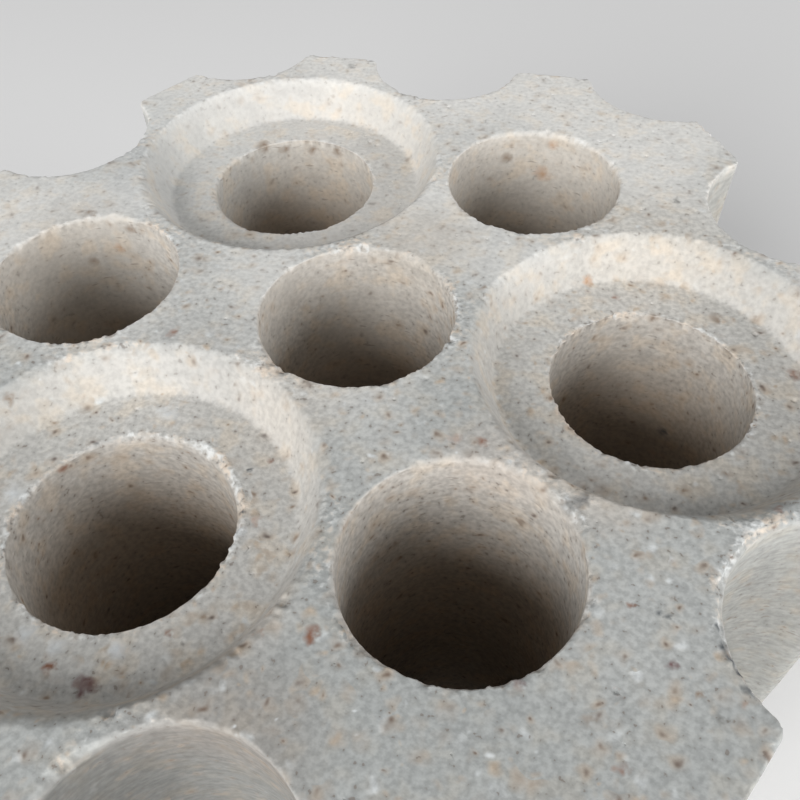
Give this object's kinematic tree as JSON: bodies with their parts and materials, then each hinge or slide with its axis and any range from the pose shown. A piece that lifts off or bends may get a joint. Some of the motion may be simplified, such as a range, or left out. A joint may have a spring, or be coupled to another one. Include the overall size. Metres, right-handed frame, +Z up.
{
  "type": "refractory checker brick",
  "caption": "Hexagonal fired-clay checker brick with straight round gas flues, cut flues along its sides and corners, and ring sockets over ring spigots that key the courses.",
  "frame": {"origin": "on the floor under the middle flue's axis, at the level of the spigots' ends", "axes": "+Z up the flues to the face with the sockets, +X towards a corner and the flue with a socket"},
  "size_m": [0.2146, 0.203, 0.128],
  "materials": {
    "fireclay": "dry, unglazed, slightly gritty, off-white to pale grey with brown iron specks"
  },
  "bodies": {
    "root": {"checker_brick": "fireclay"}
  },
  "joints": []
}
